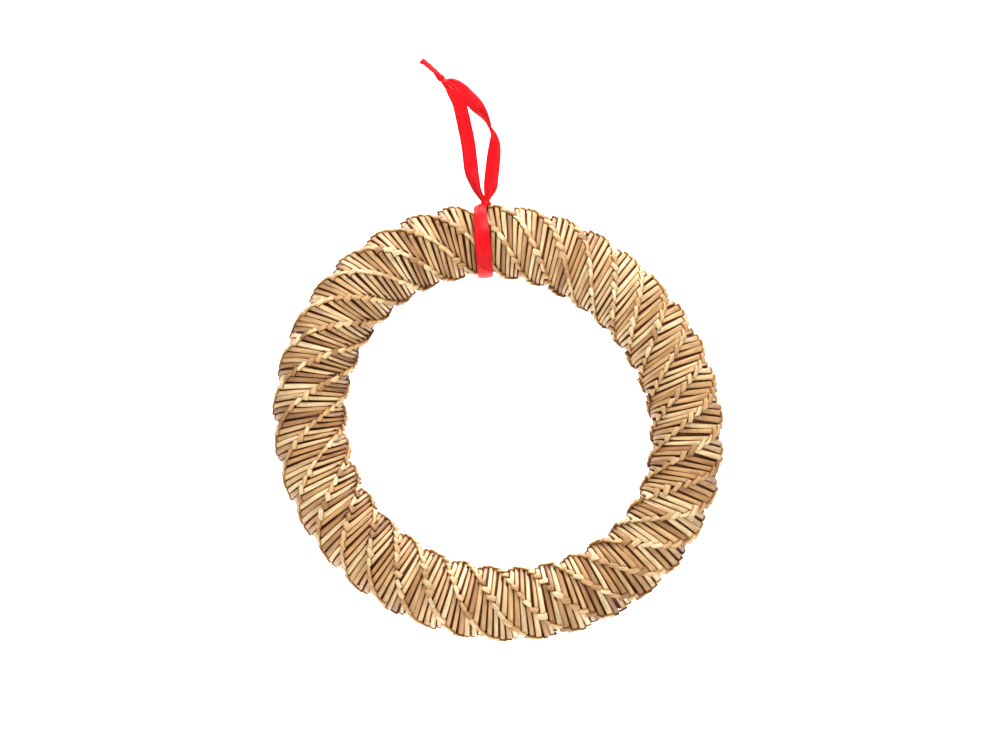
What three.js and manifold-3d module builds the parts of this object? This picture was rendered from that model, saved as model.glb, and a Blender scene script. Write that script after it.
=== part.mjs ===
import * as THREE from "three";
import { mergeVertices } from "three/addons/utils/BufferGeometryUtils.js";
import Module from "manifold-3d";

// A spiral-plaited straw wreath on a tied satin ribbon, in millimetres.
// It hangs in the XZ plane with its front towards -Y. The origin is the crotch of the ribbon's
// loop, the point that a nail or hook bears on. Angles round the ring run clockwise from the top.

// The plaited ring
const ringCentreX = 22.1;
const ringCentreZ = -217.9;
const ringMeanRadius = 125.6;
const ovalAmount = 4.4;
const ovalDirection = 119;
const trefoilAmount = 0.8;
const trefoilDirection = -9;

// The plait: five ridges that wind seven times round the tube, one straw layer on the next
const cornerRadius = 25.6;
const middleRadius = 22.4;
const depthMean = 1.2;
const depthOuter = 0.15;
const depthSwing = 0.45;
const depthSwingDirection = 62;
const ridgeLift = 0.15;
const sideCount = 5;
const sideAngle = 360 / sideCount;
const twistCount = 7;
const twistStart = 6.85;
const twistDrift = 3.9;
const twistDriftDirection = 140;
const layerCount = 206;
const layerDrift = 5.6;
const layerDriftDirection = 330;
const ribDepth = 1.2;
const foldDepth = 1;
const leanMean = 0.03;
const leanSwing = 0.06;
const leanDirection = 320;
const bowSwing = 0.25;
const leanWave = 0.064;
const bowWave = 0.15;
const waveDirection = 75;

// The ribbon
const ribbonWidth = 9.6;
const ribbonThickness = 1;
const bandAngle = -4.8;
const bandHalfAngle = 2.9;
const bandClearance = 0.45;
const bandGather = 0.42;
const bandKnotLift = 2.2;
const bandKnotTurn = 1.7;
const pinchAmount = 0.12;
const pinchSpread = 3.6;
const strawColour = 0xc9a468;
const ribbonColour = 0xd81b28;

const rad = THREE.MathUtils.degToRad;
const group = new THREE.Group();

const wasm = await Module();
wasm.setup();

// Radius of the ring's centre line, which is a little oval and a little three-cornered.
function ringRadius(angle) {
  const oval = ovalAmount * Math.cos(rad(2 * (angle - ovalDirection)));
  const trefoil = trefoilAmount * Math.cos(rad(3 * (angle - trefoilDirection)));
  return ringMeanRadius + oval + trefoil;
}

// Angle round the section of the first ridge, 0 outwards, 90 to the front, 180 inwards.
function ridgeAngle(angle) {
  const drift = twistDrift * Math.cos(rad(angle - twistDriftDirection));
  return twistCount * (angle - twistStart + drift);
}

// The tied band draws the tube in, so its section is smaller there.
function sectionScale(angle) {
  const away = THREE.MathUtils.euclideanModulo(angle - bandAngle + 180, 360) - 180;
  return 1 - pinchAmount * Math.exp(-((away / pinchSpread) ** 2));
}

// Distance from the tube's centre line to its five-sided skin. The sides are bowed by the straws,
// and lie deeper between the ridges on the ring's outer right and inner left.
function sectionRadius(angle, around) {
  const fromRidge = THREE.MathUtils.euclideanModulo(around - ridgeAngle(angle), sideAngle);
  const fromMiddle = Math.abs(fromRidge - sideAngle / 2) / (sideAngle / 2);
  const swing = depthSwing * Math.cos(rad(angle - depthSwingDirection));
  const depth = depthMean + (depthOuter + swing) * Math.cos(rad(around));
  const relief = ridgeLift * (depth - 1) - depth * (1 - fromMiddle * fromMiddle);
  return sectionScale(angle) * (cornerRadius + (cornerRadius - middleRadius) * relief);
}

// A point at a distance from the tube's centre line, on a layer that leans and bows a little.
function tubePoint(angle, around, distance) {
  const inward = -distance * Math.cos(rad(around));
  const wave = Math.cos(rad(2 * (angle - waveDirection)));
  const lean = leanMean + leanSwing * Math.cos(rad(angle - leanDirection)) + leanWave * wave;
  const bow = bowSwing * Math.sin(rad(angle)) + bowWave * wave;
  const shift = lean * inward + (bow * inward * inward) / (2 * cornerRadius);
  const turned = rad(angle) + shift / ringRadius(angle);
  const fromRingCentre = ringRadius(angle) - inward;
  return new THREE.Vector3(
    ringCentreX + fromRingCentre * Math.sin(turned),
    -distance * Math.sin(rad(around)),
    ringCentreZ + fromRingCentre * Math.cos(turned),
  );
}

// Turns closed rows of equal length into triangles, row by row; capped rows get an end at each end.
function skinRows(rows, closedLengthwise) {
  const rowLength = rows[0].length;
  const vertices = [];
  const triangles = [];
  for (const row of rows) {
    for (const point of row) {
      vertices.push(point.x, point.y, point.z);
    }
  }
  const lastRow = closedLengthwise ? rows.length : rows.length - 1;
  for (let i = 0; i < lastRow; i += 1) {
    const here = i * rowLength;
    const next = ((i + 1) % rows.length) * rowLength;
    for (let j = 0; j < rowLength; j += 1) {
      const k = (j + 1) % rowLength;
      triangles.push(here + j, next + j, next + k);
      triangles.push(here + j, next + k, here + k);
    }
  }
  if (!closedLengthwise) {
    const end = (rows.length - 1) * rowLength;
    for (let j = 1; j < rowLength - 1; j += 1) {
      triangles.push(0, j, j + 1);
      triangles.push(end, end + j + 1, end + j);
    }
  }
  const geometry = new THREE.BufferGeometry();
  geometry.setAttribute("position", new THREE.Float32BufferAttribute(vertices, 3));
  geometry.setIndex(triangles);
  return geometry;
}

// One row of the plait: a corner and the middle of a side, five times round. A crest row follows
// a straw, and a valley row the groove before the next one.
function plaitRow(angle, isCrest) {
  const row = [];
  for (let side = 0; side < sideCount; side += 1) {
    const corner = ridgeAngle(angle) + side * sideAngle;
    const middle = corner + sideAngle / 2;
    const cornerDrop = isCrest ? 0 : foldDepth;
    const middleDrop = isCrest ? 0 : ribDepth;
    row.push(tubePoint(angle, corner, sectionRadius(angle, corner) - cornerDrop));
    row.push(tubePoint(angle, middle, sectionRadius(angle, middle) - middleDrop));
  }
  return row;
}

// Angle of a layer on the ring. The layers go anticlockwise and lie closest near the upper left.
function layerAngle(layer) {
  const even = (-layer * 360) / layerCount;
  return even - layerDrift * Math.sin(rad(even - layerDriftDirection));
}

function plaitGeometry() {
  const rows = [];
  for (let layer = 0; layer < layerCount; layer += 1) {
    rows.push(plaitRow(layerAngle(layer), true));
    rows.push(plaitRow(layerAngle(layer + 0.5), false));
  }
  return skinRows(rows, true);
}

// Largest section radius under the band's width, so that the band bridges the grooves.
function bandRadius(around) {
  let largest = 0;
  for (let step = -4; step <= 4; step += 1) {
    const angle = bandAngle + (step / 4) * bandHalfAngle;
    largest = Math.max(largest, sectionRadius(angle, around));
  }
  return largest + bandClearance;
}

// One four-cornered section of the ribbon, square to its length.
function ribbonSection(centre, across, normal, width, thickness) {
  const section = [];
  for (const [u, v] of [[-1, -1], [1, -1], [1, 1], [-1, 1]]) {
    const corner = centre.clone();
    corner.addScaledVector(across, (u * width) / 2);
    corner.addScaledVector(normal, (v * thickness) / 2);
    section.push(corner);
  }
  return section;
}

// The band, a closed loop of ribbon round the tube, gathered towards the knot on top.
function bandGeometry() {
  const stations = 40;
  const rows = [];
  const across = new THREE.Vector3(-Math.cos(rad(bandAngle)), 0, Math.sin(rad(bandAngle)));
  const outward = new THREE.Vector3(Math.sin(rad(bandAngle)), 0, Math.cos(rad(bandAngle)));
  const front = new THREE.Vector3(0, -1, 0);
  for (let i = 0; i < stations; i += 1) {
    const around = (i * 360) / stations;
    const normal = new THREE.Vector3();
    normal.addScaledVector(outward, Math.cos(rad(around)));
    normal.addScaledVector(front, Math.sin(rad(around)));
    const centre = new THREE.Vector3(ringCentreX, 0, ringCentreZ);
    centre.addScaledVector(outward, ringRadius(bandAngle));
    centre.addScaledVector(normal, bandRadius(around) + ribbonThickness / 2);
    const fromKnot = Math.min(around, 360 - around);
    const width = ribbonWidth * (1 - bandGather * Math.exp(-((fromKnot / 24) ** 2)));
    rows.push(ribbonSection(centre, across, normal, width, ribbonThickness));
  }
  return skinRows(rows, true);
}

// A free length of ribbon through stations of [x, y, z, turn, width]; turn is 0 where the ribbon
// faces the front and 90 where it is seen edge-on.
function ribbonLength(stations, steps) {
  const points = stations.map(([x, y, z]) => new THREE.Vector3(x, y, z));
  const curve = new THREE.CatmullRomCurve3(points, false, "centripetal");
  const rows = [];
  for (let i = 0; i <= steps; i += 1) {
    const place = (i / steps) * (stations.length - 1);
    const before = Math.min(Math.floor(place), stations.length - 2);
    const share = place - before;
    const turn = THREE.MathUtils.lerp(stations[before][3], stations[before + 1][3], share);
    const width = THREE.MathUtils.lerp(stations[before][4], stations[before + 1][4], share);
    const along = curve.getTangent(i / steps);
    const across = new THREE.Vector3(along.z, 0, -along.x).normalize();
    across.applyAxisAngle(along, rad(turn));
    const normal = new THREE.Vector3().crossVectors(across, along).normalize();
    rows.push(ribbonSection(curve.getPoint(i / steps), across, normal, width, ribbonThickness));
  }
  return skinRows(rows, false);
}

// A knot, as a small rounded lump.
function knotGeometry(x, y, z, sizeX, sizeY, sizeZ, tilt) {
  const knot = new THREE.SphereGeometry(0.5, 12, 8);
  knot.scale(sizeX, sizeY, sizeZ);
  knot.rotateY(rad(tilt));
  knot.translate(x, y, z);
  return knot;
}

function toManifold(geometry) {
  const bare = geometry.clone();
  bare.deleteAttribute("normal");
  bare.deleteAttribute("uv");
  const merged = mergeVertices(bare, 1e-4);
  const mesh = new wasm.Mesh({
    numProp: 3,
    vertProperties: new Float32Array(merged.attributes.position.array),
    triVerts: new Uint32Array(merged.index.array),
  });
  return new wasm.Manifold(mesh);
}

function fromManifold(solid) {
  const mesh = solid.getMesh();
  const geometry = new THREE.BufferGeometry();
  geometry.setAttribute("position", new THREE.BufferAttribute(mesh.vertProperties, 3));
  geometry.setIndex(new THREE.BufferAttribute(mesh.triVerts, 1));
  return geometry;
}

// Left leg of the loop, nearly flat to the front, gathered into the lower knot.
function leftLeg() {
  return ribbonLength(
    [
      [-13.6, -0.5, 14, 0, 4.4],
      [-8.8, -0.5, 8.6, 0, 8.6],
      [-4.3, -0.5, -0.2, 0, 9.2],
      [-0.7, 0.1, -15, 0, 9.6],
      [2.1, 0.6, -29.2, 0, 9.6],
      [3.9, 0.8, -44.5, 4, 9.6],
      [5.7, 0.6, -51.7, 28, 9.2],
      [8.4, 0.3, -59.6, 50, 8],
      [13, 0, -67, 60, 4],
    ],
    20,
  );
}

// Right leg, bowed outwards, with half a turn in it below the crotch.
function rightLeg() {
  return ribbonLength(
    [
      [-13.6, 0.4, 14.2, 0, 4.4],
      [-9.4, 0.4, 13, 0, 8],
      [-4.2, 0.4, 9.8, 0, 9.6],
      [1.6, 0.6, 4.6, 0, 9.6],
      [7.2, 0.4, -1.2, 14, 9.6],
      [12.3, 0.2, -7.3, 52, 9.6],
      [16.9, 0, -14.7, 84, 9.6],
      [19.4, 0, -21.1, 112, 9.6],
      [20, 0, -29.2, 145, 9.6],
      [19, 0, -39.4, 168, 9.6],
      [17.7, 0, -50.7, 180, 9.6],
      [16.8, 0, -58.4, 200, 9.2],
      [14.4, 0, -67, 230, 4],
    ],
    32,
  );
}

// Short free end past the end knot, drawn into a narrow strand.
function tailEnd() {
  return ribbonLength(
    [
      [-16.6, 0, 17, 30, 3.6],
      [-20.4, -0.3, 20.4, 62, 4.2],
      [-24.4, -0.2, 24.2, 50, 4.6],
      [-27.6, 0.2, 27, 58, 5],
      [-30.2, 0, 29, 40, 4.4],
    ],
    8,
  );
}

function ribbonGeometry() {
  const knotRise = ringRadius(bandAngle) + bandRadius(0) + bandKnotLift;
  const knotX = ringCentreX + knotRise * Math.sin(rad(bandAngle + bandKnotTurn));
  const knotZ = ringCentreZ + knotRise * Math.cos(rad(bandAngle + bandKnotTurn));
  const pieces = [
    bandGeometry(),
    knotGeometry(knotX, 0, knotZ, 6.2, 6.4, 4.8, 12),
    leftLeg(),
    rightLeg(),
    knotGeometry(-13.6, 0, 13.8, 5.6, 4.6, 3.8, 42),
    knotGeometry(-16.8, 0, 17.1, 5, 4.6, 4.2, 42),
    tailEnd(),
  ];
  let solid = toManifold(pieces[0]);
  for (const piece of pieces.slice(1)) {
    solid = solid.add(toManifold(piece));
  }
  return fromManifold(solid);
}

function addPart(name, geometry, material) {
  const mesh = new THREE.Mesh(geometry, material);
  mesh.name = name;
  group.add(mesh);
}

const strawMaterial = new THREE.MeshStandardMaterial({
  color: strawColour,
  roughness: 0.5,
  metalness: 0,
  flatShading: true,
});
const ribbonMaterial = new THREE.MeshStandardMaterial({
  color: ribbonColour,
  roughness: 0.35,
  metalness: 0,
});

addPart("straw_plait", plaitGeometry(), strawMaterial);
addPart("hanging_ribbon", ribbonGeometry(), ribbonMaterial);

export default group;
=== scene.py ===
import math

import bmesh
import bpy
from mathutils import Matrix, Vector


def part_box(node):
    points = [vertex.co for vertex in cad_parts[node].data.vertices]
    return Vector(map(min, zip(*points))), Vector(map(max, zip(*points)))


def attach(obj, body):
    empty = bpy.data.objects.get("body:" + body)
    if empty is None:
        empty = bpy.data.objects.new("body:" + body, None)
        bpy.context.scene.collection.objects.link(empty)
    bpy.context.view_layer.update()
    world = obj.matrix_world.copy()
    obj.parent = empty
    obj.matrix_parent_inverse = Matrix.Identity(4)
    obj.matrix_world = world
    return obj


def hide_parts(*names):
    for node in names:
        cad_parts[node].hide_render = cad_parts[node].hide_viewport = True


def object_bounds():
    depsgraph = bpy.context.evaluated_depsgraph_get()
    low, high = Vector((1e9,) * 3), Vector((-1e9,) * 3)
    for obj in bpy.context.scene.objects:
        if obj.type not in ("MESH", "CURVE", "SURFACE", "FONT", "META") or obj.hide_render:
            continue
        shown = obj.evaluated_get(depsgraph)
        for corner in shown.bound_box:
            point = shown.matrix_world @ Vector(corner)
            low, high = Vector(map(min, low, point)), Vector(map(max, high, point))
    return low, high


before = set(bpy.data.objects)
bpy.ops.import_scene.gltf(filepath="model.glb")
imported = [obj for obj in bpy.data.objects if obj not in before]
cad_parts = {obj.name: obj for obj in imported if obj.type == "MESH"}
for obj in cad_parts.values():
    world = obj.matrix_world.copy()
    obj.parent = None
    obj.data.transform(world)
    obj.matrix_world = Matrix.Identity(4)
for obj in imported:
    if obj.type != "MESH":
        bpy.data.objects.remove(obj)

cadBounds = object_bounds()
plaitBox = [Vector(corner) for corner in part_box("straw_plait")]
plaitCentre = (plaitBox[0] + plaitBox[1]) / 2


# helpers that every piece uses

def rad(degrees):
    return math.radians(degrees)


def lerp(a, b, share):
    return a + (b - a) * share


def colourOf(red, green, blue):
    # a colour as a painter reads it, 0 to 255, turned into the shader's own scale
    parts = []
    for part in (red, green, blue):
        part = part / 255
        parts.append(part / 12.92 if part <= 0.04045 else ((part + 0.055) / 1.055) ** 2.4)
    return (*parts, 1)


def addObject(name, mesh, material=None):
    piece = bpy.data.objects.new(name, mesh)
    bpy.context.collection.objects.link(piece)
    if material:
        mesh.materials.clear()
        mesh.materials.append(material)
    return piece


def newMaterial(name):
    material = bpy.data.materials.new(name)
    material.use_nodes = True
    return material, material.node_tree, material.node_tree.nodes["Principled BSDF"]


def colourRamp(tree, socket, stops):
    ramp = tree.nodes.new("ShaderNodeValToRGB")
    elements = ramp.color_ramp.elements
    while len(elements) < len(stops):
        elements.new(0.5)
    for element, (position, colour) in zip(elements, stops):
        element.position = position
        element.color = colour
    tree.links.new(socket, ramp.inputs[0])
    return ramp.outputs["Color"]


def multiplyColours(tree, first, second):
    node = tree.nodes.new("ShaderNodeMix")
    node.data_type = "RGBA"
    node.blend_type = "MULTIPLY"
    node.inputs["Factor"].default_value = 1.0
    tree.links.new(first, node.inputs["A"])
    tree.links.new(second, node.inputs["B"])
    return node.outputs["Result"]


def attributeValue(tree, name):
    node = tree.nodes.new("ShaderNodeAttribute")
    node.attribute_name = name
    return node.outputs["Fac"]


def addBump(tree, shader, socket, strength, distance):
    bump = tree.nodes.new("ShaderNodeBump")
    bump.inputs["Strength"].default_value = strength
    bump.inputs["Distance"].default_value = distance
    tree.links.new(socket, bump.inputs["Height"])
    tree.links.new(bump.outputs["Normal"], shader.inputs["Normal"])


class Figure:
    # a socket that adds and multiplies like a number; each sign makes one Math node
    def __init__(self, tree, socket):
        self.tree = tree
        self.socket = socket

    def math(self, operation, *others):
        node = self.tree.nodes.new("ShaderNodeMath")
        node.operation = operation
        for slot, value in enumerate((self, *others)):
            if isinstance(value, Figure):
                self.tree.links.new(value.socket, node.inputs[slot])
            else:
                node.inputs[slot].default_value = value
        return Figure(self.tree, node.outputs[0])

    def __add__(self, other):
        return self.math("ADD", other)

    def __sub__(self, other):
        return self.math("SUBTRACT", other)

    def __mul__(self, other):
        return self.math("MULTIPLY", other)

    def __truediv__(self, other):
        return self.math("DIVIDE", other)

    def __neg__(self):
        return self.math("MULTIPLY", -1.0)

    def sine(self):  # of an angle in degrees
        return self.math("RADIANS").math("SINE")

    def cosine(self):
        return self.math("RADIANS").math("COSINE")


# the plaited wreath

ringCentre = Vector((0.0221, 0, -0.2179))

plaitValues = {
    "Centre Shift X": ringCentre.x - plaitCentre.x,  # from the middle of the plait's own box
    "Centre Shift Z": ringCentre.z - plaitCentre.z,
    "Ring Radius": 0.1256,
    "Oval Amount": 0.0044,
    "Oval Direction": 119.0,
    "Trefoil Amount": 0.0008,
    "Trefoil Direction": -9.0,
    "Corner Radius": 0.0256,
    "Middle Radius": 0.0224,
    "Side Depth": 1.2,                 # how deep the sides lie between the ridges
    "Side Depth Outer": 0.15,
    "Side Depth Swing": 0.45,
    "Side Depth Direction": 62.0,
    "Ridge Lift": 0.15,
    "Sides": 5.0,
    "Twists": 7.0,
    "Twist Start": 6.85,
    "Twist Drift": 3.9,
    "Twist Drift Direction": 140.0,
    "Layers": 206.0,
    "Layer Drift": 5.6,
    "Layer Drift Direction": 330.0,
    "Lean": 0.03,
    "Lean Swing": 0.06,
    "Lean Direction": 320.0,
    "Bow": 0.25,
    "Lean Wave": 0.064,
    "Bow Wave": 0.15,
    "Wave Direction": 75.0,
    "Band Angle": -4.8,
    "Pinch": 0.12,
    "Pinch Spread": 3.6,
}


class PlaitRule:
    # the plait's own rule, as Math nodes; angles run clockwise from the top and from the outer edge
    def __init__(self, tree, sizes):
        self.tree = tree
        self.sizes = sizes
        self.centreX = sizes["Middle X"] + sizes["Centre Shift X"]
        self.centreZ = sizes["Middle Z"] + sizes["Centre Shift Z"]

    def layerAngle(self, layer):
        sizes = self.sizes
        even = -(layer * 360.0 / sizes["Layers"])
        return even - (even - sizes["Layer Drift Direction"]).sine() * sizes["Layer Drift"]

    def ridgeAngle(self, angle):
        sizes = self.sizes
        drift = (angle - sizes["Twist Drift Direction"]).cosine() * sizes["Twist Drift"]
        return (angle - sizes["Twist Start"] + drift) * sizes["Twists"]

    def ringRadius(self, angle):
        sizes = self.sizes
        oval = ((angle - sizes["Oval Direction"]) * 2.0).cosine() * sizes["Oval Amount"]
        trefoil = ((angle - sizes["Trefoil Direction"]) * 3.0).cosine() * sizes["Trefoil Amount"]
        return oval + trefoil + sizes["Ring Radius"]

    def skinRadius(self, angle, around, fromMiddle):
        sizes = self.sizes
        rise = sizes["Corner Radius"] - sizes["Middle Radius"]
        swing = (angle - sizes["Side Depth Direction"]).cosine() * sizes["Side Depth Swing"]
        depth = sizes["Side Depth"] + (sizes["Side Depth Outer"] + swing) * around.cosine()
        relief = sizes["Ridge Lift"] * (depth - 1.0) - depth * (-(fromMiddle * fromMiddle) + 1.0)
        fromBand = (angle - sizes["Band Angle"]).math("WRAP", 180.0, -180.0) / sizes["Pinch Spread"]
        pinch = (-(fromBand * fromBand)).math("EXPONENT") * sizes["Pinch"]
        return (sizes["Corner Radius"] + rise * relief) * (-pinch + 1.0)

    def layerShift(self, angle, inward):
        # how far a layer leans and bows along the ring, this far inwards from the tube's centre line
        sizes = self.sizes
        wave = ((angle - sizes["Wave Direction"]) * 2.0).cosine()
        lean = (angle - sizes["Lean Direction"]).cosine() * sizes["Lean Swing"] + sizes["Lean"]
        lean = lean + wave * sizes["Lean Wave"]
        bow = angle.sine() * sizes["Bow"] + wave * sizes["Bow Wave"]
        return lean * inward + bow * inward * inward / (sizes["Corner Radius"] * 2.0)

    def cornerShift(self, angle, around):
        return self.layerShift(angle, -(around.cosine() * self.sizes["Corner Radius"]))

    def place(self, angle, around, distance, shift=None):
        radius = self.ringRadius(angle)
        inward = -(distance * around.cosine())
        if shift is None:
            shift = self.layerShift(angle, inward)
        turned = angle + (shift / radius).math("DEGREES")
        outward = radius - inward
        x = turned.sine() * outward + self.centreX
        y = -(around.sine() * distance)
        z = turned.cosine() * outward + self.centreZ
        combine = self.tree.nodes.new("ShaderNodeCombineXYZ")
        for slot, figure in enumerate((x, y, z)):
            self.tree.links.new(figure.socket, combine.inputs[slot])
        return combine.outputs[0]


def newTree(name, inputs):
    # a geometry node group with one named input for each value of the dictionary
    tree = bpy.data.node_groups.new(name, "GeometryNodeTree")
    for label, value in inputs.items():
        if isinstance(value, bpy.types.Object):
            kind = "NodeSocketObject"
        elif isinstance(value, bpy.types.Material):
            kind = "NodeSocketMaterial"
        elif isinstance(value, int):
            kind = "NodeSocketInt"
        else:
            kind = "NodeSocketFloat"
        tree.interface.new_socket(label, in_out="INPUT", socket_type=kind)
    tree.interface.new_socket("Geometry", in_out="OUTPUT", socket_type="NodeSocketGeometry")
    entry = tree.nodes.new("NodeGroupInput")
    sizes = {label: Figure(tree, entry.outputs[label]) for label in inputs}
    return tree, sizes


def applyTree(tree, inputs, name):
    # runs the group on an empty mesh, and keeps the result as a plain mesh
    carrier = addObject(name + "Carrier", bpy.data.meshes.new(name))
    modifier = carrier.modifiers.new("Nodes", "NODES")
    modifier.node_group = tree
    for item in tree.interface.items_tree:
        if item.item_type == "SOCKET" and item.in_out == "INPUT":
            modifier[item.identifier] = inputs[item.name]
    depsgraph = bpy.context.evaluated_depsgraph_get()
    mesh = bpy.data.meshes.new_from_object(carrier.evaluated_get(depsgraph))
    mesh.name = name
    bpy.data.objects.remove(carrier)
    return addObject(name, mesh)


def namedValue(tree, name, kind="FLOAT"):
    node = tree.nodes.new("GeometryNodeInputNamedAttribute")
    node.data_type = kind
    node.inputs["Name"].default_value = name
    return node.outputs[0]


def storeValue(tree, geometry, name, figure):
    node = tree.nodes.new("GeometryNodeStoreNamedAttribute")
    node.data_type = "FLOAT"
    node.domain = "POINT"
    node.inputs["Name"].default_value = name
    tree.links.new(geometry, node.inputs["Geometry"])
    tree.links.new(figure.socket, node.inputs["Value"])
    return node.outputs["Geometry"]


def finishTree(tree, geometry, finish):
    node = tree.nodes.new("GeometryNodeSetMaterial")
    tree.links.new(geometry, node.inputs["Geometry"])
    tree.links.new(finish.socket, node.inputs["Material"])
    tree.links.new(node.outputs[0], tree.nodes.new("NodeGroupOutput").inputs[0])


def randomValue(tree, identity, seed, low=-1.0, high=1.0):
    node = tree.nodes.new("FunctionNodeRandomValue")
    node.data_type = "FLOAT"
    node.inputs[2].default_value = low
    node.inputs[3].default_value = high
    tree.links.new(identity.socket, node.inputs["ID"])
    tree.links.new(seed.socket, node.inputs["Seed"])
    return Figure(tree, node.outputs[1])


strawValues = {
    "foldToe": -0.0019,           # from the corner along the plait, where the fold starts under the next
    "foldHeel": 0.0041,           # the straw's outer edge, where it turns down the side
    "foldTilt": 35.0,             # of the fold, from the plait's own direction towards the last side
    "foldHeight": 0.0044,         # of the fold, measured along the run
    "foldMiddle": 0.0004,
    "foldThickness": 0.0017,
    "foldToeHeight": 0.86,        # share of the fold's height at its toe
    "foldToeDrop": 0.0013,        # the fold's middle under the skin, at its toe and from half way on
    "foldHeelDrop": 0.0005,
    "foldEasing": 0.25,           # how much the fold's slope eases towards its heel
    "runWidth": 0.0032,
    "runThickness": 0.0018,
    "runStart": -0.0006,          # under the fold
    "runEnd": 0.0014,             # where the run ends, from the corner along the plait
    "runGap": 0.001,              # between the run's end and the next side
    "runNarrowing": 0.93,         # share of the run's width at its end
    "runDrop": 0.0014,
    "endDip": 0.0008,             # how far the run's end dips under the next fold
    "endDipStart": 0.6,
    "sideTurn": 69.5,             # degrees round the section from one corner to the next, as the straw lies
    "squareness": 0.45,           # 1 gives an oval straw, 0 a flat strip
    "patternScale": 10,           # of the fibres, for each metre of straw
    "sectionPoints": 8,
    "foldRings": 4,
    "runRings": 7,
}


def foldRings():
    # inner edge, outer edge, depth of the middle, thickness and share of fold; the ends slant with the run
    values = strawValues
    slope = math.tan(rad(values["foldTilt"]))
    rings = []
    for ring in range(values["foldRings"] + 1):
        share = ring / values["foldRings"]
        x = lerp(values["foldToe"], values["foldHeel"], share)
        middle = Vector((x, values["foldMiddle"] - x * slope * (1 - values["foldEasing"] * share)))
        half = Vector((0, values["foldHeight"] / 2 * lerp(values["foldToeHeight"], 1, share)))
        drop = lerp(values["foldToeDrop"], values["foldHeelDrop"], min(1, share * 2))
        rings.append((middle - half, middle + half, drop, values["foldThickness"], 1.0))
    return rings


def runRings(side):
    # the straw leaves from under its fold, crosses the flat side and ends under the next fold
    values = strawValues
    start = Vector((values["foldHeel"] - values["runWidth"] / 2, values["runStart"]))
    end = Vector((values["runEnd"], side - values["runGap"]))
    rings = []
    for ring in range(values["runRings"] + 1):
        share = ring / values["runRings"]
        centre = start.lerp(end, share)
        half = Vector((values["runWidth"] / 2 * lerp(1, values["runNarrowing"], share), 0))
        dip = max(0, share - values["endDipStart"]) / (1 - values["endDipStart"])
        drop = values["runDrop"] + values["endDip"] * dip
        rings.append((centre + half, centre - half, drop, values["runThickness"], 0.0))
    return rings


def strawTemplate():
    # one fold and one run of straw in its own flat frame: x in layers, y in sides, z above the skin
    values = strawValues
    pitch = 2 * math.pi * plaitValues["Ring Radius"] / plaitValues["Layers"]
    side = rad(values["sideTurn"]) * (plaitValues["Corner Radius"] + plaitValues["Middle Radius"]) / 2
    mesh = bpy.data.meshes.new("strawTemplate")
    shape = bmesh.new()
    uvLayer = shape.loops.layers.uv.new("UVMap")
    middleLayer = shape.verts.layers.float_vector.new("middle")
    foldLayer = shape.verts.layers.float.new("fold")
    count = values["sectionPoints"]
    for rings in (foldRings(), runRings(side)):
        rows = []
        travelled = [0.0]
        middles = [(ring[0] + ring[1]) / 2 for ring in rings]
        for before, after in zip(middles, middles[1:]):
            travelled.append(travelled[-1] + (after - before).length)
        for inner, outer, drop, height, fold in rings:
            row = []
            centre = (inner + outer) / 2
            for step in range(count):
                turn = 2 * math.pi * (step + 0.5) / count
                across = math.copysign(abs(math.cos(turn)) ** values["squareness"], math.cos(turn))
                up = math.copysign(abs(math.sin(turn)) ** values["squareness"], math.sin(turn))
                spot = centre + (outer - centre) * across
                point = shape.verts.new((spot.x / pitch, spot.y / side, up * height / 2 - drop))
                point[middleLayer] = (centre.x / pitch, centre.y / side, -drop)
                point[foldLayer] = fold
                row.append(point)
            rows.append(row)
        for ring, (row, following) in enumerate(zip(rows, rows[1:])):
            for step in range(count):
                nextStep = (step + 1) % count
                face = shape.faces.new((row[step], row[nextStep], following[nextStep], following[step]))
                face.smooth = True
                spots = ((step, ring), (step + 1, ring), (step + 1, ring + 1), (step, ring + 1))
                for loop, (u, v) in zip(face.loops, spots):
                    loop[uvLayer].uv = (u / count, travelled[v] * values["patternScale"])
        shape.faces.new(rows[0])
        shape.faces.new(list(reversed(rows[-1])))
    bmesh.ops.recalc_face_normals(shape, faces=shape.faces[:])
    shape.to_mesh(mesh)
    shape.free()
    return addObject("strawTemplate", mesh)


looseness = {
    "Width Spread": 0.16,
    "Shift Spread": 0.13,
    "Lean Spread": 0.15,
    "Height Spread": 0.0004,
    "Fold Spread": 0.16,
    "Tilt Spread": 0.07,
}

strawCounts = {
    "Strands": 6,                 # working straws that wind round together
    "Runs Per Straw": 8.0,
    "Tone Spread": 0.16,
    "Seed": 11,
}

toneValues = {
    "joinStep": 2.3,              # runs by which one working straw's joins stand off the next one's
    "strandGap": 100.0,           # keeps the straws of each working straw apart
    "seedStep": 20.0,
    "foldSpread": 0.24,
    "foldPaleness": 0.03,
    "grainShift": 9.0,
}


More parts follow.
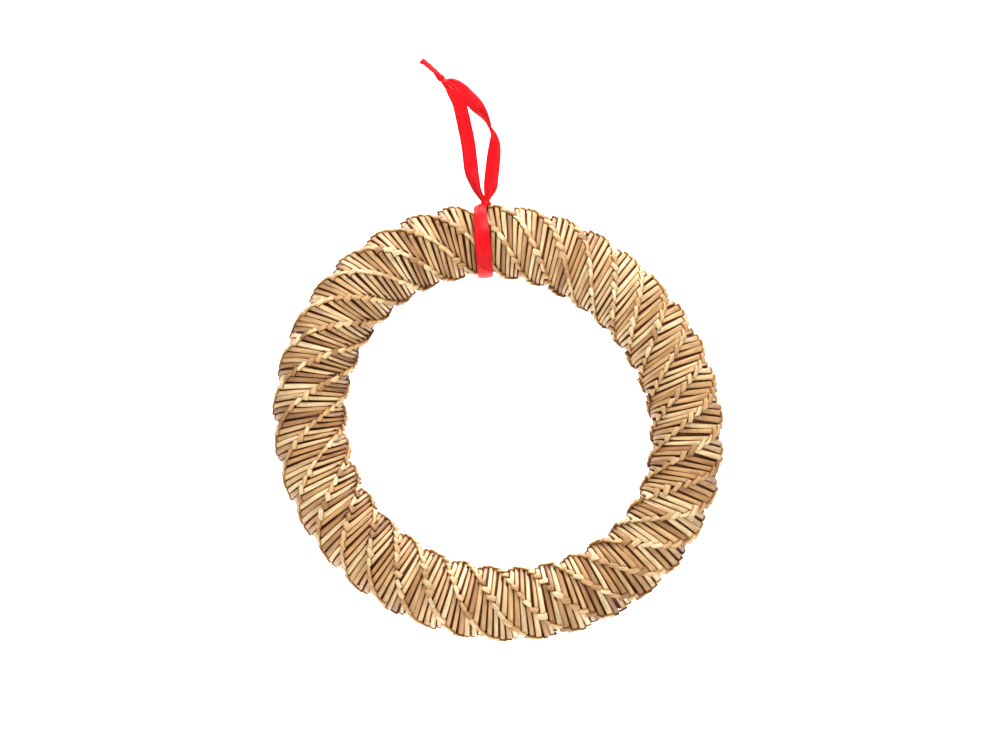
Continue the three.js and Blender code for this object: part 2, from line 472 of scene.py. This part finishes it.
def plaitTree(inputs):
    tree, sizes = newTree("Straw Plait", inputs)
    nodes, links = tree.nodes, tree.links
    rule = PlaitRule(tree, sizes)

    # one point for each run of this working straw; number counts the corners along the whole plait
    points = nodes.new("GeometryNodePoints")
    total = sizes["Layers"] * sizes["Sides"]
    links.new(((total - sizes["Strand"]) / sizes["Strands"]).math("CEIL").socket, points.inputs["Count"])
    index = Figure(tree, nodes.new("GeometryNodeInputIndex").outputs[0])
    number = index * sizes["Strands"] + sizes["Strand"]
    geometry = storeValue(tree, points.outputs[0], "number", number)
    geometry = storeValue(tree, geometry, "turn", index)

    shape = nodes.new("GeometryNodeObjectInfo")
    links.new(sizes["Straw Shape"].socket, shape.inputs["Object"])
    instances = nodes.new("GeometryNodeInstanceOnPoints")
    links.new(geometry, instances.inputs["Points"])
    links.new(shape.outputs["Geometry"], instances.inputs["Instance"])
    realize = nodes.new("GeometryNodeRealizeInstances")
    links.new(instances.outputs[0], realize.inputs[0])
    geometry = realize.outputs[0]

    # the template's own coordinates, loosened a little for each straw
    number = Figure(tree, namedValue(tree, "number"))
    fold = Figure(tree, namedValue(tree, "fold"))
    own = nodes.new("ShaderNodeSeparateXYZ")
    links.new(nodes.new("GeometryNodeInputPosition").outputs[0], own.inputs[0])
    along, across, height = (Figure(tree, socket) for socket in own.outputs)
    core = nodes.new("ShaderNodeSeparateXYZ")
    links.new(namedValue(tree, "middle", "FLOAT_VECTOR"), core.inputs[0])
    middleAlong, middleAcross = (Figure(tree, core.outputs[slot]) for slot in (0, 1))
    seed = sizes["Seed"]
    draws = [randomValue(tree, number, seed + float(step)) for step in range(8)]
    spread = draws[0] * sizes["Width Spread"] + 1.0
    along = middleAlong + (along - middleAlong) * spread
    across = middleAcross + (across - middleAcross) * spread
    along = along * (draws[1] * sizes["Fold Spread"] * fold + 1.0)
    across = across + along * draws[2] * sizes["Tilt Spread"] * fold
    onRun = -fold + 1.0
    along = along + draws[3] * sizes["Shift Spread"] * onRun
    along = along + (across - 0.5) * draws[4] * sizes["Lean Spread"] * onRun
    height = height + draws[5] * sizes["Height Spread"]

    # the loosened coordinates, bent onto the ring by the plait's rule
    reached = number + across
    layer = reached / sizes["Sides"] + along
    angle = rule.layerAngle(layer)
    ridge = rule.ridgeAngle(rule.layerAngle(reached / sizes["Sides"]))
    around = ridge + reached * 360.0 / sizes["Sides"]
    fromMiddle = (across.math("FRACT") * 2.0 - 1.0).math("ABSOLUTE")
    distance = rule.skinRadius(angle, around, fromMiddle) + height

    # a straw runs straight from one corner to the next, so its shift is shared out evenly between them
    sideAngle = sizes["Sides"].math("POWER", -1.0) * 360.0
    lastCorner = around - across * sideAngle
    shiftBefore = rule.cornerShift(angle, lastCorner)
    shift = shiftBefore + (rule.cornerShift(angle, lastCorner + sideAngle) - shiftBefore) * across
    place = nodes.new("GeometryNodeSetPosition")
    links.new(geometry, place.inputs["Geometry"])
    links.new(rule.place(angle, around, distance, shift), place.inputs["Position"])
    geometry = place.outputs[0]

    # each straw keeps its own tone through several runs, until the next straw is pushed into its end
    turn = Figure(tree, namedValue(tree, "turn"))
    values = toneValues
    joins = (turn + sizes["Strand"] * values["joinStep"]) / sizes["Runs Per Straw"]
    straw = joins.math("FLOOR") + sizes["Strand"] * values["strandGap"]
    tone = randomValue(tree, straw, seed + values["seedStep"], 0.0, 1.0) + draws[6] * sizes["Tone Spread"]
    tone = tone + fold * (draws[2] * values["foldSpread"] - values["foldPaleness"])
    geometry = storeValue(tree, geometry, "tone", tone)
    geometry = storeValue(tree, geometry, "grainShift", draws[7] * values["grainShift"])
    finishTree(tree, geometry, sizes["Finish"])
    return tree


insideValues = {
    "depth": 0.0022,              # under the skin
    "pointsAlong": 721,
    "pointsAround": 31,
    "mergeDistance": 0.00001,
}


def insideTree(inputs):
    # the inside of the plait, seen between the straws; it stands for the inner straw layers, and its dark
    # colour is painted shade, the shadow deep in the gaps
    tree, sizes = newTree("Plait Inside", inputs)
    nodes, links = tree.nodes, tree.links
    rule = PlaitRule(tree, sizes)
    grid = nodes.new("GeometryNodeMeshGrid")
    grid.inputs["Size X"].default_value = 1
    grid.inputs["Size Y"].default_value = 1
    grid.inputs["Vertices X"].default_value = insideValues["pointsAlong"]
    grid.inputs["Vertices Y"].default_value = insideValues["pointsAround"]
    own = nodes.new("ShaderNodeSeparateXYZ")
    links.new(nodes.new("GeometryNodeInputPosition").outputs[0], own.inputs[0])
    angle = -((Figure(tree, own.outputs[0]) + 0.5) * 360.0)
    around = (Figure(tree, own.outputs[1]) + 0.5) * 360.0
    fromRidge = (around - rule.ridgeAngle(angle)) / 360.0 * sizes["Sides"]
    fromMiddle = (fromRidge.math("FRACT") * 2.0 - 1.0).math("ABSOLUTE")
    distance = rule.skinRadius(angle, around, fromMiddle) - sizes["Depth"]
    place = nodes.new("GeometryNodeSetPosition")
    links.new(grid.outputs["Mesh"], place.inputs["Geometry"])
    links.new(rule.place(angle, around, distance), place.inputs["Position"])
    merge = nodes.new("GeometryNodeMergeByDistance")
    links.new(place.outputs[0], merge.inputs["Geometry"])
    merge.inputs["Distance"].default_value = insideValues["mergeDistance"]
    smooth = nodes.new("GeometryNodeSetShadeSmooth")
    links.new(merge.outputs[0], smooth.inputs["Geometry"])
    finishTree(tree, smooth.outputs[0], sizes["Finish"])
    return tree


strawFinish = {
    "tones": [
        (0.00, (240, 217, 178)),
        (0.22, (226, 195, 150)),
        (0.45, (214, 176, 129)),
        (0.68, (202, 160, 112)),
        (0.87, (186, 141, 94)),
        (1.00, (164, 121, 78)),
    ],
    "fibresAcross": 11.0,
    "fibresAlong": 7.0,
    "fibreDark": 0.62,
    "fibrePale": 1.15,
    # the colour multiplied onto the straws' edges: painted shade on their rounded sides, partly soiling
    "edgeShadeTint": (0.52, 0.31, 0.11, 1),
    "faceTint": (1.0, 0.98, 0.90, 1),
    "edgeShadeWidth": 0.25,
    "runFace": 0.95,              # how far a run's face goes towards the face tint, out of the painted edge shade
    "foldFace": 0.14,             # and what a fold adds to that
    "roughness": 0.45,
    "gloss": 0.4,
    "bumpStrength": 0.55,
    "bumpDistance": 0.0003,
}


def strawMaterial():
    values = strawFinish
    material, tree, shader = newMaterial("driedStraw")
    nodes, links = tree.nodes, tree.links
    tones = [(place, colourOf(*colour)) for place, colour in values["tones"]]
    toneColour = colourRamp(tree, attributeValue(tree, "tone"), tones)

    # fibres run the length of the straw
    uv = nodes.new("ShaderNodeUVMap")
    uv.uv_map = "UVMap"
    parts = nodes.new("ShaderNodeSeparateXYZ")
    links.new(uv.outputs[0], parts.inputs[0])
    roundStraw, alongStraw = (Figure(tree, parts.outputs[slot]) for slot in (0, 1))
    fibres = nodes.new("ShaderNodeCombineXYZ")
    links.new((roundStraw * values["fibresAcross"]).socket, fibres.inputs[0])
    links.new((alongStraw * values["fibresAlong"]).socket, fibres.inputs[1])
    links.new(attributeValue(tree, "grainShift"), fibres.inputs[2])
    grain = nodes.new("ShaderNodeTexNoise")
    grain.inputs["Scale"].default_value = 1.0
    grain.inputs["Detail"].default_value = 4.0
    links.new(fibres.outputs[0], grain.inputs["Vector"])
    grainRange = nodes.new("ShaderNodeMapRange")
    grainRange.inputs["From Min"].default_value = 0.3
    grainRange.inputs["From Max"].default_value = 0.7
    grainRange.inputs["To Min"].default_value = values["fibreDark"]
    grainRange.inputs["To Max"].default_value = values["fibrePale"]
    links.new(grain.outputs["Fac"], grainRange.inputs["Value"])
    grained = multiplyColours(tree, toneColour, grainRange.outputs["Result"])

    # the folds are scraped paler, and the straw's two edges are painted darker than its flat face: painted
    # shade where the round straw turns from the light, partly standing for soiling there
    halfStep = 180.0 / strawValues["sectionPoints"]
    face = (roundStraw * 360.0 + halfStep).sine().math("ABSOLUTE")
    face = face * (Figure(tree, attributeValue(tree, "fold")) * values["foldFace"] + values["runFace"])
    tints = [(values["edgeShadeWidth"], values["edgeShadeTint"]), (1.0, values["faceTint"])]
    # painted shade: each straw darkens towards its edges round its section, whatever the light
    tint = colourRamp(tree, face.socket, tints)
    links.new(multiplyColours(tree, grained, tint), shader.inputs["Base Color"])
    shader.inputs["Roughness"].default_value = values["roughness"]
    shader.inputs["Specular IOR Level"].default_value = values["gloss"]
    addBump(tree, shader, grain.outputs["Fac"], values["bumpStrength"], values["bumpDistance"])
    return material


# the inside's two dark colours are painted shade: the shadow deep between the straws
insideFinish = {
    "deepShadowBrown": (52, 16, 2),
    "shadowBrown": (92, 44, 12),
    "spotScale": 300,
    "roughness": 0.9,
}


def insideMaterial():
    values = insideFinish
    material, tree, shader = newMaterial("shadedStraw")
    spots = tree.nodes.new("ShaderNodeTexNoise")
    spots.inputs["Scale"].default_value = values["spotScale"]
    where = tree.nodes.new("ShaderNodeTexCoord")
    tree.links.new(where.outputs["Object"], spots.inputs["Vector"])
    browns = [(0.0, colourOf(*values["deepShadowBrown"])), (1.0, colourOf(*values["shadowBrown"]))]
    tree.links.new(colourRamp(tree, spots.outputs["Fac"], browns), shader.inputs["Base Color"])
    shader.inputs["Roughness"].default_value = values["roughness"]
    return material


def makePlait():
    template = strawTemplate()
    straw = strawMaterial()
    inputs = {
        "Straw Shape": template,
        "Finish": straw,
        "Middle X": plaitCentre.x,
        "Middle Z": plaitCentre.z,
        "Strand": 0,
        **strawCounts,
        **plaitValues,
        **looseness,
    }
    tree = plaitTree(inputs)
    pieces = []
    for strand in range(inputs["Strands"]):
        inputs["Strand"] = strand
        piece = applyTree(tree, inputs, f"workingStraw{strand + 1}")
        pieces.append(piece)
        print(piece.name, "has", len(piece.data.polygons), "faces")
    bpy.data.objects.remove(template)
    inside = {
        "Finish": insideMaterial(),
        "Middle X": plaitCentre.x,
        "Middle Z": plaitCentre.z,
        "Depth": insideValues["depth"],
        **plaitValues,
    }
    pieces.append(applyTree(insideTree(inside), inside, "plaitInside"))
    for piece in pieces:
        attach(piece, "root")
        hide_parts("straw_plait")
    print("plait made")
    return pieces


plaitPieces = makePlait()


# the hanging ribbon

ribbonValues = {
    "flatWidth": 0.010,
    "flatLength": 0.42,
    "fullWidth": 0.0096,
    "thickness": 0.0006,
    "bandAngle": -4.8,
    "bandHalfAngle": 2.9,         # of the ring, that the band covers to each side
    "bandWidth": 0.0103,
    "bandPleatDepth": 0.0004,
    "bandRows": 120,
    "bandRise": 0.0016,           # from the smoothed skin to the middle of the cloth
    "bandSmoothing": 20,          # degrees to each side, in steps of smoothingStep
    "smoothingStep": 4,
    "widthSteps": 4,              # places to each side of the band's middle where the skin is felt
    "bandGather": 0.20,           # how much narrower the band is where it is drawn in
    "gatherPlace": 42.0,          # degrees round the tube from the knot
    "gatherSpread": 24.0,
    "knotPull": 0.7,              # how far the band is drawn up into its knot
    "knotPullSpread": 17.0,
    "knotGather": 0.5,
    "knotTurn": 1.7,              # degrees along the ring from the band to its knot
    "knotRise": 0.0031,           # the knot's middle above the skin
    "creaseHeight": 0.0006,       # a slanting crease low on the front of the band
    "creasePlace": 142.0,
    "creaseSlant": 13.0,
    "creaseSpread": 3.5,
    "edgeCurl": 0.0011,           # extra curl where a leg is seen edge-on
    "curl": 0.0008,
    "pleats": 2.5,
    "pleatDepth": 0.0021,
    "pleatDrift": 5,              # how far the pleats wander across along a piece
    "acrossPoints": 13,
    "stepsPerStation": 8,
    "directionReach": 0.02,       # stations ahead and behind that give the ribbon's direction
    "patternScale": 100,          # of the threads, for each metre of ribbon
}

# stations of x, y, z, turn and width: lengths in millimetres, turn 0 facing the front and 90 seen edge-on
leftLeg = [
    (-13.6, -0.5, 14, 0, 4.4),
    (-8.8, -0.5, 8.6, 0, 8.6),
    (-4.3, -0.5, -0.2, 0, 9.2),
    (-0.7, 0.1, -15, 0, 9.6),
    (2.1, 0.6, -29.2, 0, 9.6),
    (3.9, 0.8, -44.5, 4, 9.6),
    (5.7, 0.6, -51.7, 28, 9.2),
    (8.4, 0.3, -59.6, 50, 8),
    (13, 0, -67, 60, 4),
]
rightLeg = [
    (-13.6, 0.4, 14.2, 0, 4.4),
    (-9.4, 0.4, 13, 0, 8),
    (-4.2, 0.4, 9.8, 0, 9.6),
    (1.6, 0.6, 4.6, 0, 9.6),
    (7.2, 0.4, -1.2, 14, 9.6),
    (12.3, 0.2, -7.3, 52, 9.6),
    (16.9, 0, -14.7, 84, 9.6),
    (19.4, 0, -21.1, 112, 9.6),
    (20, 0, -29.2, 145, 9.6),
    (19, 0, -39.4, 168, 9.6),
    (17.7, 0, -50.7, 180, 9.6),
    (16.8, 0, -58.4, 200, 9.2),
    (14.4, 0, -67, 230, 4),
]
tailEnd = [
    (-16.6, 0, 17, 30, 3.6),
    (-20.4, -0.3, 20.4, 62, 4.2),
    (-24.4, -0.2, 24.2, 50, 4.6),
    (-27.6, 0.2, 27, 58, 5),
    (-30.2, 0, 29, 40, 4.4),
]


# the plait's rule again in plain numbers, for the one place where the band lies

def ringRadiusAt(angle):
    values = plaitValues
    oval = values["Oval Amount"] * math.cos(rad(2 * (angle - values["Oval Direction"])))
    trefoil = values["Trefoil Amount"] * math.cos(rad(3 * (angle - values["Trefoil Direction"])))
    return values["Ring Radius"] + oval + trefoil


def ridgeAngleAt(angle):
    values = plaitValues
    drift = values["Twist Drift"] * math.cos(rad(angle - values["Twist Drift Direction"]))
    return values["Twists"] * (angle - values["Twist Start"] + drift)


def skinUnderBand(angle, around):
    values = plaitValues
    side = 360 / values["Sides"]
    fromRidge = (around - ridgeAngleAt(angle)) % side
    fromMiddle = abs(fromRidge - side / 2) / (side / 2)
    swing = values["Side Depth Swing"] * math.cos(rad(angle - values["Side Depth Direction"]))
    depth = values["Side Depth"] + (values["Side Depth Outer"] + swing) * math.cos(rad(around))
    relief = values["Ridge Lift"] * (depth - 1) - depth * (1 - fromMiddle ** 2)
    rise = values["Corner Radius"] - values["Middle Radius"]
    away = (angle - values["Band Angle"]) / values["Pinch Spread"]
    return (values["Corner Radius"] + rise * relief) * (1 - values["Pinch"] * math.exp(-away ** 2))


def throughStations(stations, place):
    # a smooth value between stations, by the Catmull-Rom rule
    before = min(int(place), len(stations) - 2)
    t = place - before
    ids = [max(before - 1, 0), before, before + 1, min(before + 2, len(stations) - 1)]
    a, b, c, d = (stations[i] for i in ids)
    return [0.5 * (2 * q + (r - p) * t + (2 * p - 5 * q + 4 * r - s) * t * t
                   + (3 * q - p - 3 * r + s) * t ** 3) for p, q, r, s in zip(a, b, c, d)]


def clothRow(centre, across, normal, width, curl, pleatDepth, share):
    # one row of points across the ribbon; what the width loses goes into pleats
    values = ribbonValues
    loss = max(0, 1 - width / values["fullWidth"])
    row = []
    for step in range(values["acrossPoints"]):
        u = 2 * step / (values["acrossPoints"] - 1) - 1
        pleat = math.sin(math.pi * values["pleats"] * u + values["pleatDrift"] * share) * pleatDepth * loss
        lift = curl * (1 - u * u) * (1 - loss) + pleat
        row.append(centre + across * (u * width / 2) + normal * lift)
    return row


def legRows(stations):
    values = ribbonValues
    last = len(stations) - 1
    steps = last * values["stepsPerStation"]
    rows = []
    for i in range(steps + 1):
        place = i / values["stepsPerStation"]
        x, y, z, turn, width = throughStations(stations, place)
        here = Vector((x, y, z))
        ahead = Vector(throughStations(stations, min(place + values["directionReach"], last))[:3])
        behind = Vector(throughStations(stations, max(place - values["directionReach"], 0))[:3])
        along = (ahead - behind).normalized()
        across = Vector((along.z, 0, -along.x)).normalized()
        across = Matrix.Rotation(rad(turn), 3, along) @ across
        normal = across.cross(along).normalized()
        curl = values["curl"] + values["edgeCurl"] * math.sin(rad(turn)) ** 2
        depth = values["pleatDepth"]
        rows.append(clothRow(here / 1000, across, normal, width / 1000, curl, depth, i / steps))
    return rows


def highestSkin(around):
    # the highest skin across the band's width
    values = ribbonValues
    count = values["widthSteps"]
    offsets = [values["bandHalfAngle"] * step / count for step in range(-count, count + 1)]
    return max(skinUnderBand(values["bandAngle"] + offset, around) for offset in offsets)


def bandSkin(around):
    # the stretched band bridges the hollows, so it follows the skin only roughly
    reach, step = ribbonValues["bandSmoothing"], ribbonValues["smoothingStep"]
    heights = [highestSkin(around + offset) for offset in range(-reach, reach + 1, step)]
    return sum(heights) / len(heights)


def lowerKnotPlace():
    values = ribbonValues
    rise = ringRadiusAt(values["bandAngle"]) + highestSkin(0) + values["knotRise"]
    angle = rad(values["bandAngle"] + values["knotTurn"])
    return ringCentre + Vector((math.sin(angle), 0, math.cos(angle))) * rise


def bandRows():
    values = ribbonValues
    angle = rad(values["bandAngle"])
    across = Vector((-math.cos(angle), 0, math.sin(angle)))
    outward = Vector((math.sin(angle), 0, math.cos(angle)))
    front = Vector((0, -1, 0))
    middle = ringCentre + outward * ringRadiusAt(values["bandAngle"])
    knot = lowerKnotPlace()
    rows = []
    for i in range(values["bandRows"]):
        share = i / values["bandRows"]
        around = 360 * share
        fromKnot = min(around, 360 - around)
        normal = outward * math.cos(rad(around)) + front * math.sin(rad(around))
        centre = middle + normal * (bandSkin(around) + values["bandRise"])
        pull = math.exp(-(fromKnot / values["knotPullSpread"]) ** 2)
        centre = centre.lerp(knot, values["knotPull"] * pull)
        fromDip = (fromKnot - values["gatherPlace"]) / values["gatherSpread"]
        width = values["bandWidth"] * (1 - values["bandGather"] * math.exp(-fromDip ** 2))
        width = width * (1 - values["knotGather"] * pull)
        row = clothRow(centre, across, normal, width, values["curl"], values["bandPleatDepth"], share)
        for step, point in enumerate(row):
            u = 2 * step / (len(row) - 1) - 1
            fromCrease = around - values["creasePlace"] + u * values["creaseSlant"]
            crease = math.exp(-(fromCrease / values["creaseSpread"]) ** 2)
            point += normal * values["creaseHeight"] * crease
        rows.append(row)
    return rows


def addStrip(shape, uvLayer, rows, closed):
    made = [[shape.verts.new(point) for point in row] for row in rows]
    pairs = list(zip(made, made[1:]))
    if closed:
        pairs.append((made[-1], made[0]))
    travelled = 0.0
    middle = len(rows[0]) // 2
    for row, following in pairs:
        ahead = travelled + (following[middle].co - row[middle].co).length
        for step in range(len(row) - 1):
            face = shape.faces.new((row[step], following[step], following[step + 1], row[step + 1]))
            face.smooth = True
            share, nextShare = step / (len(row) - 1), (step + 1) / (len(row) - 1)
            spots = ((share, travelled), (share, ahead), (nextShare, ahead), (nextShare, travelled))
            for loop, (u, v) in zip(face.loops, spots):
                loop[uvLayer].uv = (u, v * ribbonValues["patternScale"])
        travelled = ahead


knotValues = {
    "foldDepth": 0.13,
    "foldSlant": 3.4,
    "lowerKnot": ((6.6, 6.6, 5.6), 12, 3),  # size in millimetres, tilt in degrees and number of folds
    "endKnots": [
        ((-13.6, 0, 13.8), (6.8, 5.2, 5.0), 42, 2),  # place, and then the same
        ((-16.8, 0, 17.1), (6.0, 5.2, 5.2), 42, 3),
    ],
}


def knotLump(shape, centre, size, tilt, folds):
    # a tight knot: a lump with the folds of the ribbon wound over it
    values = knotValues
    made = bmesh.ops.create_uvsphere(shape, u_segments=40, v_segments=20, radius=0.5)["verts"]
    turn = Matrix.Rotation(rad(tilt), 3, "Y")
    for vert in made:
        longitude = math.atan2(vert.co.y, vert.co.x)
        height = vert.co.z * 2
        ridge = math.sin(folds * longitude + values["foldSlant"] * height) * (1 - height * height)
        spot = vert.co * (1 + values["foldDepth"] * ridge)
        spot = Vector((spot.x * size[0], spot.y * size[1], spot.z * size[2]))
        vert.co = (turn @ spot + Vector(centre)) / 1000
        for face in vert.link_faces:
            face.smooth = True


satinFinish = {
    "deepRed": (192, 5, 16),
    "brightRed": (226, 13, 26),
    "threadsAcross": 7,
    "threadsAlong": 1.1,
    "weftScale": 9.0,
    "weftHeight": 0.35,
    "roughness": 0.42,
    "anisotropic": 0.5,
    "gloss": 0.16,
    "bumpStrength": 0.16,
    "bumpDistance": 0.00012,
}


def satinMaterial():
    values = satinFinish
    material, tree, shader = newMaterial("redSatin")
    nodes, links = tree.nodes, tree.links
    where = nodes.new("ShaderNodeTexCoord")

    # warp threads run lengthwise, so the cloud of slightly different reds is drawn out that way
    mapping = nodes.new("ShaderNodeMapping")
    mapping.inputs["Scale"].default_value = (values["threadsAcross"], values["threadsAlong"], 1)
    links.new(where.outputs["UV"], mapping.inputs["Vector"])
    threads = nodes.new("ShaderNodeTexNoise")
    threads.inputs["Scale"].default_value = 1.0
    threads.inputs["Detail"].default_value = 5.0
    links.new(mapping.outputs[0], threads.inputs["Vector"])
    reds = [(0.3, colourOf(*values["deepRed"])), (0.7, colourOf(*values["brightRed"]))]
    links.new(colourRamp(tree, threads.outputs["Fac"], reds), shader.inputs["Base Color"])
    shader.inputs["Roughness"].default_value = values["roughness"]
    shader.inputs["Anisotropic"].default_value = values["anisotropic"]
    shader.inputs["Specular IOR Level"].default_value = values["gloss"]

    # the weft shows as fine lines across
    weft = nodes.new("ShaderNodeTexWave")
    weft.bands_direction = "Y"
    weft.inputs["Scale"].default_value = values["weftScale"]
    weft.inputs["Distortion"].default_value = 0.6
    links.new(where.outputs["UV"], weft.inputs["Vector"])
    height = Figure(tree, weft.outputs["Fac"]) * values["weftHeight"] + Figure(tree, threads.outputs["Fac"])
    addBump(tree, shader, height.socket, values["bumpStrength"], values["bumpDistance"])
    return material


def makeRibbon(satin):
    mesh = bpy.data.meshes.new("satinRibbon")
    shape = bmesh.new()
    uvLayer = shape.loops.layers.uv.new("UVMap")
    for stations in (leftLeg, rightLeg, tailEnd):
        addStrip(shape, uvLayer, legRows(stations), False)
    addStrip(shape, uvLayer, bandRows(), True)
    shape.to_mesh(mesh)
    shape.free()
    cloth = addObject("clothCarrier", mesh, satin)
    solidify = cloth.modifiers.new("thickness", "SOLIDIFY")
    solidify.thickness = ribbonValues["thickness"]
    solidify.offset = 0
    depsgraph = bpy.context.evaluated_depsgraph_get()
    solid = bpy.data.meshes.new_from_object(cloth.evaluated_get(depsgraph))
    bpy.data.objects.remove(cloth)
    return addObject("satinRibbon", solid, satin)


def makeKnots(satin):
    mesh = bpy.data.meshes.new("ribbonKnots")
    shape = bmesh.new()
    knotLump(shape, lowerKnotPlace() * 1000, *knotValues["lowerKnot"])
    for endKnot in knotValues["endKnots"]:
        knotLump(shape, *endKnot)
    shape.to_mesh(mesh)
    shape.free()
    return addObject("ribbonKnots", mesh, satin)


satin = satinMaterial()
ribbonPieces = [makeRibbon(satin), makeKnots(satin)]
for piece in ribbonPieces:
    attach(piece, "root")
    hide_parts("hanging_ribbon")
print("ribbon made")


# stage, light and camera

stageValues = {
    "viewWidth": 0.680,
    "viewPlace": Vector((0.02353, 0.0, -0.18564)),
    "cameraDistance": 2.0,
    "floorDrop": 0.8,             # under the object's lowest point
    "paperColour": (240, 240, 239),
    "paperReach": 6.0,            # forwards and to each side
    "backdropDistance": 3.2,
    "backdropHeight": 4.0,
    "sweepRadius": 0.8,           # where the floor curves up into the backdrop
    "sweepSteps": 8,
}

# place and aim from the middle of the wreath, size in metres and power in watts
lightValues = {
    "keyLight": ((0.8, -1.35, 2.0), (0, 0, 0), 1.0, 60),
    "fillLight": ((-1.2, -1.9, 0.9), (0, 0, 0), 1.2, 14),
    "backLight": ((0, 1.2, 2.4), (0, 3.2, 0), 2.0, 190),
}

roomGlow = {"From Min": -0.4, "From Max": 1.0, "To Min": 0.2, "To Max": 1.0}  # dimmer below


def makeStage():
    values = stageValues
    floorHeight = cadBounds[0].z - values["floorDrop"]
    paper, _, shader = newMaterial("palePaper")
    shader.inputs["Base Color"].default_value = colourOf(*values["paperColour"])
    shader.inputs["Roughness"].default_value = 0.9
    reach, back, radius = values["paperReach"], values["backdropDistance"], values["sweepRadius"]
    profile = [(-reach, floorHeight), (back - radius, floorHeight)]
    for step in range(values["sweepSteps"]):
        turn = rad(90 * (step + 1) / values["sweepSteps"])
        profile.append((back - radius * (1 - math.sin(turn)), floorHeight + radius * (1 - math.cos(turn))))
    profile.append((back, floorHeight + values["backdropHeight"]))
    points = [(x, y, z) for x in (-reach, reach) for y, z in profile]
    count = len(profile)
    faces = [(step, step + 1, count + step + 1, count + step) for step in range(count - 1)]
    mesh = bpy.data.meshes.new("paperSweep")
    mesh.from_pydata(points, [], faces)
    sweep = addObject("paperSweep", mesh, paper)
    for face in mesh.polygons:
        face.use_smooth = True


def addLight(name, place, aim, size, power):
    light = bpy.data.lights.new(name, "AREA")
    light.shape = "SQUARE"
    light.size = size
    light.energy = power
    lamp = bpy.data.objects.new(name, light)
    bpy.context.collection.objects.link(lamp)
    lamp.location = place
    lamp.rotation_euler = (aim - place).to_track_quat("-Z", "Y").to_euler()


def makeCamera():
    values = stageValues
    camera = bpy.data.cameras.new("camera")
    camera.sensor_width = 36
    camera.lens = 36 * values["cameraDistance"] / values["viewWidth"]
    holder = bpy.data.objects.new("camera", camera)
    bpy.context.collection.objects.link(holder)
    holder.location = values["viewPlace"] - Vector((0, values["cameraDistance"], 0))
    holder.rotation_euler = (rad(90), 0, 0)
    bpy.context.scene.camera = holder


def makeLights():
    for name, (place, aim, size, power) in lightValues.items():
        addLight(name, plaitCentre + Vector(place), plaitCentre + Vector(aim), size, power)
    world = bpy.data.worlds.new("softRoom")
    world.use_nodes = True
    nodes, links = world.node_tree.nodes, world.node_tree.links
    where = nodes.new("ShaderNodeTexCoord")
    parts = nodes.new("ShaderNodeSeparateXYZ")
    links.new(where.outputs["Generated"], parts.inputs[0])
    glow = nodes.new("ShaderNodeMapRange")
    for socket, value in roomGlow.items():
        glow.inputs[socket].default_value = value
    links.new(parts.outputs[2], glow.inputs["Value"])
    links.new(glow.outputs["Result"], nodes["Background"].inputs["Strength"])
    nodes["Background"].inputs["Color"].default_value = (1, 1, 1, 1)
    bpy.context.scene.world = world
    bpy.context.scene.view_settings.view_transform = "Standard"


makeStage()
makeCamera()
makeLights()
print("stage and light made")
